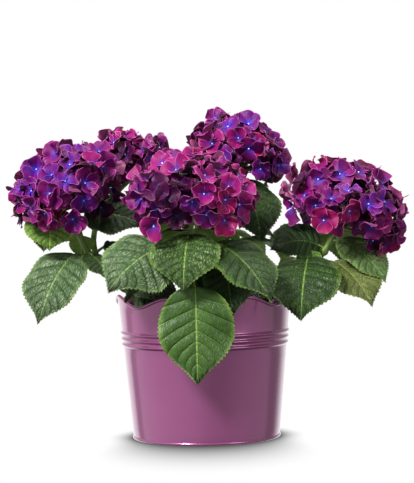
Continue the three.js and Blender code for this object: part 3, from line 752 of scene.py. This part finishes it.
def build_leaf(piece, leaf, rng):
    """One blade. Its rows follow the side veins, so the quilting between them and
    the teeth they end in come from whole rows."""
    tint = list(LEAF_TINTS).index(leaf.tint)
    half = np.array(LEAF.columns)
    column = np.concatenate([-half[::-1], [0], half])[None, :]
    teeth = max(LEAF.least_teeth, round(leaf.length / LEAF.tooth_pitch))
    count = teeth * LEAF.tooth_rows + 1
    vein = leaf_rows(count)
    edge = np.abs(column)
    share = vein + LEAF.sweep * vein * (1 - vein) * edge ** LEAF.arch
    rise = (np.arange(count) % LEAF.tooth_rows / (LEAF.tooth_rows - 1))[:, None]
    bite = rng.uniform(*LEAF.bite, (teeth + 1, 1)).repeat(LEAF.tooth_rows, 0)[:count]
    inside = smooth(*LEAF.teeth_start, share) * (1 - smooth(*LEAF.teeth_end, share))
    tooth = LEAF.tooth * leaf.length * (rise - LEAF.tooth_sunk) * bite * inside
    tooth = tooth * smooth(LEAF.tooth_root, 1, edge)
    point, along, side, up = leaf_frame(leaf, share)
    out = edge * leaf_half(share) * leaf.width + LEAF.least * (edge > 0) + tooth
    out = np.sign(column) * out
    size = leaf.width / LEAF.usual
    ripple = np.abs(np.sin(np.pi * LEAF.veins * vein))
    spread = smooth(*LEAF.quilt_in, edge)
    spread = spread * (1 - LEAF.quilt_loss * smooth(*LEAF.quilt_out, edge))
    phase = two_phases(rng, column)
    wave = np.sin(LEAF.waves * np.pi * share + phase) * edge ** LEAF.wave_out
    sway = np.sin(LEAF.sways * np.pi * share + phase[:, :1]) * LEAF.sway * edge
    height = np.abs(out) * (leaf.fold - LEAF.droop * edge)
    height = height + LEAF.wave * leaf.width * (wave + sway)
    height = height + size * LEAF.quilt * ripple ** LEAF.quilt_round * spread
    height = height + LEAF.grain * rng.normal(size=share.shape) * spread
    groove = size * LEAF.groove * (1 - smooth(*LEAF.groove_out, edge))
    height = height - groove * (1 - LEAF.groove_loss * share)
    forward = LEAF.lean * tooth
    place = point + side * out[..., None] + up * height[..., None] + along * forward[..., None]
    ridge = LEAF.rib * (1 - smooth(*LEAF.rib_out, edge)) * (1 - LEAF.rib_loss * share)
    ridge = ridge + LEAF.side_rib * (1 - smooth(*LEAF.side_rib_out, ripple)) * (1 - edge)
    under = place - up * (LEAF.thick * size**0.5 + size * ridge)[..., None]
    piece.add_sheet(place, under, stacked(0.5 + 0.5 * column, vein), tint, LEAF_BACK)


def leaf_veins(look, thin):
    """A blade's veins as 0 to 1, from its own UV map: all of them, the midrib alone
    and the sunken flanks of the side veins, with the distance from the midrib and
    the place across the bands between the side veins. thin is the midrib's width."""
    u, v, _ = look.split(look.node("ShaderNodeUVMap", uv_map="leaf").outputs[0])
    edge = look.math("ABSOLUTE", look.times_plus(u, 2.0, -1.0))
    bands = look.times(v, float(LEAF.veins))
    near = look.math("PINGPONG", bands, 0.5)
    # A vein's soft edge is given in widths of the midrib.
    tapered = look.times_plus(edge, thin, near)
    side_vein = look.band(tapered, thin * 0.8, thin * 2.4)
    midrib = look.band(edge, thin * 0.5, thin * 1.3)
    veins = look.math("MAXIMUM", midrib, side_vein)
    return veins, midrib, look.band(near, 0.02, 0.14), edge, bands, u


def leaf_look(name, low, high, vein, painted_groove_shade, side, rugose):
    """A leaf's upper face: glossy cells between a sunken network of fine veins, with
    painted shade drawn darker into the network and beside the side veins. side is how
    pale the side veins are beside the midrib, and rugose how deep the network and how
    dark its painted shade are."""
    look = Look(name, Roughness=0.48, Specular_IOR_Level=0.36)
    veins, midrib, flank, edge, bands, u = leaf_veins(look, UPPER.midrib)
    warp = look.noise(look.place(), UPPER.warp_scale)
    across_cells = look.times_plus(warp, UPPER.warp, look.times(u, UPPER.across))
    cells = look.vector(across_cells, look.times(bands, UPPER.along))
    network = look.node("ShaderNodeTexVoronoi", cells, None, 1.0, feature="DISTANCE_TO_EDGE")
    cell = network.outputs[0]
    net = look.band(cell, *UPPER.net)
    green = look.clouded(55.0, low, high, span=(0.32, 0.68))
    # Painted shade: darker in the sunken network and beside the side veins.
    green = look.mix(look.times(net, UPPER.net_dark * rugose), green, painted_groove_shade)
    green = look.mix(look.times(flank, UPPER.flank_dark * rugose), green, painted_groove_shade)
    margin = look.band(look.math("SUBTRACT", 1.0, edge), *UPPER.margin)
    green = look.mix(look.times(margin, UPPER.margin_pale), green, vein)
    pale = look.times_plus(midrib, 1 - side, look.times(veins, side))
    look.colour(look.mix(look.times(pale, UPPER.vein_pale), green, vein))
    relief = look.times(look.band(cell, *UPPER.groove), UPPER.groove_height)
    relief = look.times_plus(flank, UPPER.flank_height, relief)
    grain = look.noise(look.place(), scale=600.0, detail=1.0)
    look.bump(look.times_plus(grain, UPPER.grain_height, relief), rugose)
    return look.material


def leaf_under_look():
    look = Look("leaf_under", Roughness=0.6)
    veins = leaf_veins(look, thin=0.05)[0]
    # A pale underside green, partly the leaf's own and partly painted light shining through the
    # blade.
    green = look.clouded(70.0, srgb(116, 150, 62), srgb(146, 178, 84))
    look.colour(look.mix(look.times(veins, 0.7), green, srgb(174, 194, 122)))
    look.bump(veins, distance=0.5)
    return look.material


# ---- Flower heads ----

SEPAL = Sizes(
    outer=(11, 9), inner=(7, 5),  # rows and columns of a sepal's mesh
    wide=0.57, width=(0.86, 1.1), thick=0.36, claw=0.06,
    rise=(0, 44), curl=(-75, 35),  # how steeply it leaves the heart and bends back
    fold=(-0.4, 0.9), twist=0.16, crease=0.03, wave=0.17, waves=(0.9, 1.6),
    base=0.72, tip=(0.5, 0.95),  # how blunt its claw and its tip are
    lobe=0.08, lobes=(1.2, 2.2),  # unevenness of its outline
)
FACING = Sizes(sunk=10, tilt=0.26)
INNER = Sizes(seat=0.8, seed=7)
EYE = Sizes(radius=1.05, rings=5, sides=8, pole=0.15, lobe=0.1)
RAY = Sizes(root=1.1, tip=0.6, sides=6, steps=7, sunk=1.5, elbow=0.55, sag=0.12)
# Heart, flush round it, body and outer part of a sepal, and the pale colour along its
# rim, a painted highlight.
SEPAL_TINTS = {
    "violet": ((58, 52, 190), (76, 24, 138), (92, 9, 104), (102, 9, 90), (180, 86, 166)),
    "purple": ((58, 46, 176), (82, 20, 120), (102, 7, 92), (116, 9, 80), (188, 82, 154)),
    "magenta": ((64, 44, 170), (100, 18, 112), (126, 9, 92), (138, 12, 86), (204, 94, 160)),
    "crimson": ((68, 40, 160), (106, 16, 96), (132, 8, 80), (146, 12, 76), (208, 96, 148)),
    # The dark wine is painted shade, for florets deep in a dome or on its shaded side.
    "wine": ((42, 24, 108), (46, 4, 58), (56, 2, 48), (68, 2, 52), (124, 40, 98)),
    "rose": ((90, 50, 152), (126, 34, 106), (148, 40, 98), (164, 60, 112), (220, 136, 172)),
}
SEPAL_BACK = len(SEPAL_TINTS)
# A sepal's face: how far out its colours lie and how unevenly, its fine fan of lines
# and its thin pale rim, a painted highlight along the edge.
FACE = Sizes(
    stops=(0.0, 0.05, 0.17, 0.4, 0.95), drift=0.3,
    fan=(26.0, 3.0), line=(0.35, 0.55), line_dark=0.34,
    rim=(0.0, 0.12), rim_pale=0.85,
)
# How the tints are shared out over a head: the front one is the reddest. The dark wine,
# painted shade, takes most inner florets and some outer ones.
TINT_SHARES = {
    "center": (0.1, 0.22, 0.36, 0.22, 0.03, 0.07),
    "left_back": (0.3, 0.34, 0.06, 0.0, 0.3, 0.0),
    "right": (0.2, 0.32, 0.24, 0.14, 0.1, 0.0),
    "outer": (0.38, 0.36, 0.12, 0.0, 0.14, 0.0),
    "inner": (0.08, 0.1, 0.02, 0.02, 0.78, 0.0),
}
# Florets that hang at a dome's lower edge, as in the photo: heart, facing and tint.
HANGING = {
    "left": (
        ((-167, -45, 247), (-0.1, -0.85, -0.45), "magenta"),
        ((-142, -50, 248), (0.15, -0.85, -0.45), "purple"),
        # The two dark wine ones are painted shade on the head's shaded side.
        ((-114, 8, 259), (0.3, -0.85, -0.4), "wine"),
        ((-103, 16, 280), (0.7, -0.7, 0.1), "wine"),
    ),
    "center": (
        ((-52, -112, 240), (-0.3, -0.85, -0.4), "magenta"),
        ((23, -116, 245), (0.2, -0.9, -0.35), "crimson"),
    ),
    "right": (
        ((131, -76, 242), (-0.25, -0.9, -0.3), "crimson"),
        ((200, -32, 213), (0.5, -0.7, -0.45), "crimson"),
        ((211, -30, 227), (0.75, -0.6, -0.2), "purple"),
        ((186, -42, 218), (0.2, -0.85, -0.45), "wine"),
    ),
}


def florets(shoot):
    """The solids' own rule: the golden angle over a flattened dome."""
    random = seeded(shoot.seed)

    def vary(most):
        return lerp(-most, most, random())

    centre, radius, height, axis = shoot.head
    count = round(HEAD.florets * (radius / HEAD.florets_radius) ** 2)
    along = unit(axis)
    u, v = across(along)
    golden = math.pi * (3 - math.sqrt(5))
    found = []
    for i in range(count):
        cosine = 1 - (i + 0.5) / count * (1 - math.cos(math.radians(HEAD.spread)))
        polar = math.acos(cosine) + math.radians(vary(VARY.polar))
        turn = i * golden + math.radians(vary(VARY.turn))
        seat = HEAD.seat * (1 + vary(VARY.seat))
        sideways = math.cos(turn) * u + math.sin(turn) * v
        out, up = math.sin(polar), math.cos(polar)
        place = np.array(centre) + radius * seat * out * sideways + height * seat * up * along
        normal = unit(out / radius * sideways + up / height * along)
        tilt_u, tilt_v = across(normal)
        normal = unit(normal + tilt_u * vary(VARY.tilt) + tilt_v * vary(VARY.tilt))
        spin = random() * math.pi
        size = FLORET.radius * (1 + vary(VARY.size))
        found.append((place, normal, spin, size))
    return found


def inner_florets(shoot):
    """Florets that fill the dome behind the outer ones."""
    centre, radius, height, axis = shoot.head
    deeper = (centre, radius * INNER.seat, height * INNER.seat, axis)
    return florets(Sizes(seed=shoot.seed + INNER.seed, head=deeper))


def hanging_florets(name):
    """Those florets as the others are, each followed by its tint."""
    for turn, (place, normal, tint) in enumerate(HANGING.get(name, ())):
        floret = (np.array(place, float), unit(normal), FLORET.spin + turn, FLORET.radius)
        yield floret, tint


def build_sepal(piece, middle, radial, normal, size, grid, tint, rng):
    """One sepal: a broad waved blade on a narrow claw, closed and thin. It leaves
    the heart at its own slope, bends back and folds along its middle."""
    rows, columns = grid
    t = np.linspace(0, 1, rows)[:, None]
    c = np.linspace(-1, 1, columns)[None, :]
    base, tip = SEPAL.base, rng.uniform(*SEPAL.tip)
    widest = base / (base + tip)
    half = (t / widest) ** base * ((1 - t) / (1 - widest)) ** tip
    lobes = np.sin(2 * np.pi * rng.uniform(*SEPAL.lobes) * t + two_phases(rng, c))
    half = SEPAL.wide * rng.uniform(*SEPAL.width) * half * (1 + SEPAL.lobe * lobes)
    half = np.maximum(half, SEPAL.claw * (1 - t))
    slope = np.radians(rng.uniform(*SEPAL.rise) + rng.uniform(*SEPAL.curl) * t)[..., None]
    along = np.cos(slope) * radial + np.sin(slope) * normal
    lift = np.cos(slope) * normal - np.sin(slope) * radial
    steps = (along[1:] + along[:-1]) / 2 / (rows - 1)
    line = np.concatenate([np.zeros((1, 1, 3)), np.cumsum(steps, axis=0)])
    fold, twist = rng.uniform(*SEPAL.fold), rng.normal() * SEPAL.twist
    phase = two_phases(rng, c)
    wave = np.sin(2 * np.pi * rng.uniform(*SEPAL.waves) * t + phase)
    wave = SEPAL.wave * wave * c**2 * np.sqrt(half)
    rounded = np.sqrt(c**2 + 0.04) - 0.2  # the fold has a round bottom
    z = half * (fold * rounded + twist * c) + wave
    z = z - SEPAL.crease * np.exp(-((c / 0.2) ** 2)) * np.sin(np.pi * t)
    side = np.cross(normal, radial)
    spot = SEPAL.claw * radial + (1 - SEPAL.claw) * line + (half * c)[..., None] * side
    top = middle + size * (spot + z[..., None] * lift)
    under = top - lift * SEPAL.thick
    piece.add_sheet(top, under, stacked(0.5 + 0.5 * c, t), tint, SEPAL_BACK)


def facing(floret, rng):
    """Where a floret's heart sits, a little below its place on the dome, and the
    way it faces."""
    place, normal, spin, size = floret
    u, v = across(normal)
    normal = unit(normal + u * rng.normal() * FACING.tilt + v * rng.normal() * FACING.tilt)
    return place - normal * FACING.sunk, normal, spin, size


def build_floret(piece, floret, grid, tint, rng):
    middle, normal, spin, size = floret
    u, v = across(normal)
    for i in range(FLORET.sepals):
        angle = spin + 2 * math.pi * i / FLORET.sepals + rng.normal() * FLORET.turn
        radial = math.cos(angle) * u + math.sin(angle) * v
        place = middle + normal * (i % 2) * FLORET.stack
        length = size * rng.uniform(*FLORET.size)
        build_sepal(piece, place, radial, normal, length, grid, tint, rng)


def build_eye(piece, floret):
    """The small closed flower in the middle of a floret: a four-lobed bead."""
    middle, normal, spin, size = floret
    u, v = across(normal)
    polar = np.linspace(EYE.pole, np.pi - EYE.pole, EYE.rings)[:, None]
    turn = circle(EYE.sides)[None, :]
    radius = EYE.radius * size / FLORET.radius
    radius = radius * (1 + EYE.lobe * np.cos(FLORET.sepals * (turn - spin)))
    wide = radius * np.sin(polar)
    ball = (wide * np.cos(turn))[..., None] * u + (wide * np.sin(turn))[..., None] * v
    ball = middle + normal + ball + (radius * np.cos(polar))[..., None] * normal
    grid, _, wall = ring_faces(EYE.rings, EYE.sides, downward=True)
    piece.add(ball, [(wall, 0), (grid[0][None], 0), (grid[-1][::-1][None], 0)])


def build_ray(piece, floret, shoot):
    """The thin stalk from the top of the shoot to the back of a floret."""
    middle, normal, _, _ = floret
    _, radius, _, axis = shoot.head
    hub = shoot_points(shoot)[-1] - unit(axis) * RAY.sunk
    bend = lerp(hub, middle, RAY.elbow) - normal * RAY.sag * radius
    share = np.linspace(0, 1, RAY.steps)
    width = lerp(RAY.root, RAY.tip, share)
    piece.add(*tube(bezier([hub, bend, middle], share), width, RAY.sides))


def sepal_look(name, heart, flush, body, outer, rim):
    look = Look(
        name, Roughness=0.46, Specular_IOR_Level=0.2,
        Sheen_Weight=0.05, Sheen_Roughness=0.4, Sheen_Tint=srgb(230, 150, 220),
    )
    u, v, _ = look.split(look.node("ShaderNodeUVMap", uv_map="sepal").outputs[0])
    edge = look.math("ABSOLUTE", look.times_plus(u, 2.0, -1.0))
    cloud = look.noise(look.place(), scale=120.0, detail=3.0)
    far = look.times_plus(cloud, FACE.drift, look.math("ADD", v, -FACE.drift / 2))
    colour = look.ramp(far, list(zip(FACE.stops, (heart, heart, flush, body, outer))))
    fan = look.vector(*(look.times(way, count) for way, count in zip((u, v), FACE.fan)))
    lines = look.noise(fan, scale=1.0, detail=3.0)
    drawn = look.times(look.band(lines, *FACE.line), FACE.line_dark)
    colour = look.mix(drawn, colour, flush)
    # The thin pale rim: a painted highlight along the edge and tip.
    reach = look.math("MAXIMUM", edge, v)
    thin = look.band(look.math("SUBTRACT", 1.0, reach), *FACE.rim)
    look.colour(look.mix(look.times(thin, FACE.rim_pale), colour, rim))
    look.bump(lines, distance=0.4)
    return look.material


def sepal_under_look():
    values = {"Roughness": 0.55, "Sheen_Weight": 0.3, "Sheen_Roughness": 0.4}
    return plain_look("sepal_under", 90.0, srgb(94, 20, 72), srgb(134, 44, 96), **values)


def eye_look():
    blue, white = srgb(148, 166, 244), srgb(206, 216, 252)
    return plain_look("eye", 300.0, blue, white, span=(0.3, 0.6), detail=2.0, Roughness=0.35)


# ---- The plant ----


def build_shoot(name, shoot, looks):
    rng = np.random.RandomState(shoot.seed)
    bare, leafy, blades = Piece(), Piece(), Piece()
    build_limb(bare, shoot, 0, shoot.leafy + BARK.overlap, rng)
    build_limb(leafy, shoot, shoot.leafy, 1, rng)
    leaves = [(numbers, rng) for numbers in (*shoot.leaves, *YOUNG.get(name, ()))]
    leaves += [(numbers, np.random.RandomState(1)) for numbers in LATE.get(name, ())]
    for numbers, draws in leaves:
        leaf = grown_leaf(shoot, *numbers)
        build_petiole(leafy, leaf)
        build_leaf(blades, leaf, draws)
    bare.write(f"bark_{name}", [looks["stem"]], "stem", [f"stem_{name}"])
    leafy.write(f"twigs_{name}", [looks["twig"]], "stem", [f"leaves_{name}"])
    blades.write(f"foliage_{name}", looks["leaves"], "leaf", [f"leaves_{name}"], "leaf")

    sepals, eyes, rays = Piece(), Piece(), Piece()
    outer = TINT_SHARES.get(name, TINT_SHARES["outer"])
    layers = (
        (florets(shoot), SEPAL.outer, outer, True),
        (inner_florets(shoot), SEPAL.inner, TINT_SHARES["inner"], False),
    )
    for layer, grid, shares, with_eye in layers:
        for floret in layer:
            tint = rng.choice(len(SEPAL_TINTS), p=shares)
            floret = facing(floret, rng)
            build_floret(sepals, floret, grid, tint, rng)
            build_ray(rays, floret, shoot)
            if with_eye:
                build_eye(eyes, floret)
    for floret, tint in hanging_florets(name):
        build_floret(sepals, floret, SEPAL.outer, list(SEPAL_TINTS).index(tint), rng)
        build_ray(rays, floret, shoot)
        build_eye(eyes, floret)
    sepals.write(f"blossom_{name}", looks["sepals"], "bloom", [f"bloom_{name}"], "sepal")
    eyes.write(f"eyes_{name}", [looks["eye"]], "bloom", [f"bloom_{name}"])
    rays.write(f"rays_{name}", [looks["ray"]], "stem", [f"bloom_{name}"])


def build_plant():
    leaves = [
        leaf_look(f"leaf_{name}", *(srgb(*colour) for colour in tint[:4]), *tint[4:])
        for name, tint in LEAF_TINTS.items()
    ]
    sepals = [
        sepal_look(f"sepal_{name}", *(srgb(*colour) for colour in tint))
        for name, tint in SEPAL_TINTS.items()
    ]
    looks = {
        "stem": stem_look("stem_bark", srgb(62, 70, 34), srgb(104, 122, 58)),
        "twig": stem_look("stem_green", srgb(86, 116, 44), srgb(128, 154, 74)),
        "leaves": [*leaves, leaf_under_look()],
        "sepals": [*sepals, sepal_under_look()],
        "eye": eye_look(),
        "ray": plain_look("ray", 90.0, srgb(86, 88, 44), srgb(112, 56, 72), Roughness=0.6),
    }
    for name, shoot in SHOOTS.items():
        build_shoot(name, shoot, looks)


# ---- Studio ----

# pixel: millimetres a pixel at the pot's axis; frame: pixels on the long side.
CAMERA = Sizes(
    place=(0, -2300, 303), aim=(4.3, 0, 218.5), roll=-1.1, pixel=1.118, frame=483, sensor=36
)


def looking(way):
    return way.to_track_quat("-Z", "Y")


def build_camera():
    camera = bpy.data.cameras.new("camera")
    thing = placed("camera", camera)
    place, aim = Vector(CAMERA.place) * MM, Vector(CAMERA.aim) * MM
    roll = Quaternion((0, 0, 1), math.radians(CAMERA.roll))
    thing.location = place
    thing.rotation_euler = (looking(aim - place) @ roll).to_euler()
    camera.sensor_width = CAMERA.sensor
    span = CAMERA.frame * CAMERA.pixel * MM
    camera.lens = CAMERA.sensor * (aim - place).length / span
    bpy.context.scene.camera = thing


# The place, what it shines at, its size in metres and its power in watts.
LIGHTS = {
    "key": ((-1.3, -1.6, 1.9), (0, 0, 0.22), 0.7, 120),
    "top": ((0.3, 0.3, 2.2), (0, 0, 0.2), 1.0, 30),
    "fill": ((1.8, -1.6, 0.9), (0, 0, 0.2), 1.2, 18),
}


def build_light(name, place, aim, size, power):
    light = bpy.data.lights.new(name, "AREA")
    light.shape, light.size, light.energy = "DISK", size, power
    thing = placed(name, light)
    thing.location = place
    thing.rotation_euler = looking(Vector(aim) - Vector(place)).to_euler()


# The brightness round the studio by bearing from the front: low, where the pot looks,
# with white behind, a dark strip on each side of it, a bright left wall and a dim right
# one; and high, where the leaves look.
LOW = (
    (-180, 1.2), (-137, 1.2), (-131, 0.32), (-122, 0.32), (-114, 0.9), (-60, 0.68), (-18, 0.56),
    (8, 0.34), (30, 0.34), (60, 0.46), (102, 0.52), (111, 0.24), (128, 0.22), (138, 0.7),
    (148, 1.1), (180, 1.1),
)
LOW_TO_HIGH = (0.0, 0.2)  # the heights they change at
GROUND_TO_LOW = (-0.7, -0.45)
GROUND = (0.1, 0.1, 0.1, 1)
HIGH = ((-180, 0.6), (-120, 0.6), (-50, 0.6), (0, 0.3), (60, 0.18), (110, 0.25), (180, 0.6))


def build_world():
    world = bpy.data.worlds.new("studio")
    bpy.context.scene.world = world
    world.use_nodes = True
    sky = Nodes(world.node_tree)
    x, y, z = sky.split(sky.node("ShaderNodeTexCoord").outputs["Generated"])
    angle = sky.math("ARCTAN2", x, sky.times(y, -1.0))
    share = sky.times_plus(angle, 1 / (2 * math.pi), 0.5)
    low, high = (
        sky.ramp(share, [(at / 360 + 0.5, (value, value, value, 1)) for at, value in wall])
        for wall in (LOW, HIGH)
    )
    seen = sky.mix(sky.band(z, *LOW_TO_HIGH), high, low)
    seen = sky.mix(sky.band(z, *GROUND_TO_LOW), seen, GROUND)
    camera_ray = sky.node("ShaderNodeLightPath").outputs["Is Camera Ray"]
    background = sky.nodes["Background"]
    sky.fill(background.inputs[0], sky.mix(camera_ray, seen, (1, 1, 1, 1)))


# The pot's soft shadow on the paper: how far it reaches at the sides and how much
# further in front, how narrow that tongue is, how it fades and how dark it starts.
SHADOW = Sizes(side=31, front=183, narrow=3.4, fade=1.9, depth=0.92)


def build_floor():
    """White paper that only the camera sees, shaded softly where the pot stands."""
    far = 12.0  # metres to each side
    mesh = bpy.data.meshes.new("floor")
    corners = [(-far, -far, 0), (far, -far, 0), (far, far, 0), (-far, far, 0)]
    mesh.from_pydata(corners, [], [(0, 1, 2, 3)])
    floor = placed("floor", mesh)
    floor.visible_diffuse = floor.visible_glossy = floor.visible_shadow = False
    paper = Look("floor_paper")
    paper.nodes.remove(paper.shader)
    x, y, _ = paper.split(paper.place())
    away = paper.math("SQRT", paper.times_plus(x, x, paper.times(y, y)))
    front = paper.math("MAXIMUM", paper.math("DIVIDE", paper.times(y, -1.0), away), 0.0)
    reach = paper.math("POWER", front, SHADOW.narrow)
    reach = paper.times_plus(reach, SHADOW.front * MM, SHADOW.side * MM)
    share = paper.math("DIVIDE", paper.math("SUBTRACT", away, POT.foot * MM), reach)
    lit = paper.node("ShaderNodeClamp", paper.math("SUBTRACT", 1.0, share)).outputs[0]
    dark = paper.math("POWER", lit, SHADOW.fade)
    grey = paper.times_plus(dark, -SHADOW.depth, 1.0)
    glow = paper.node("ShaderNodeEmission", paper.vector(grey, grey, grey), 1.0)
    paper.links.new(glow.outputs[0], paper.nodes["Material Output"].inputs[0])
    mesh.materials.append(paper.material)


build_camera()
build_world()
build_floor()
for name, numbers in LIGHTS.items():
    build_light(name, *numbers)
bpy.context.scene.view_settings.view_transform = "Standard"
build_pot(pot_paint())
build_compost(compost_look())
build_plant()
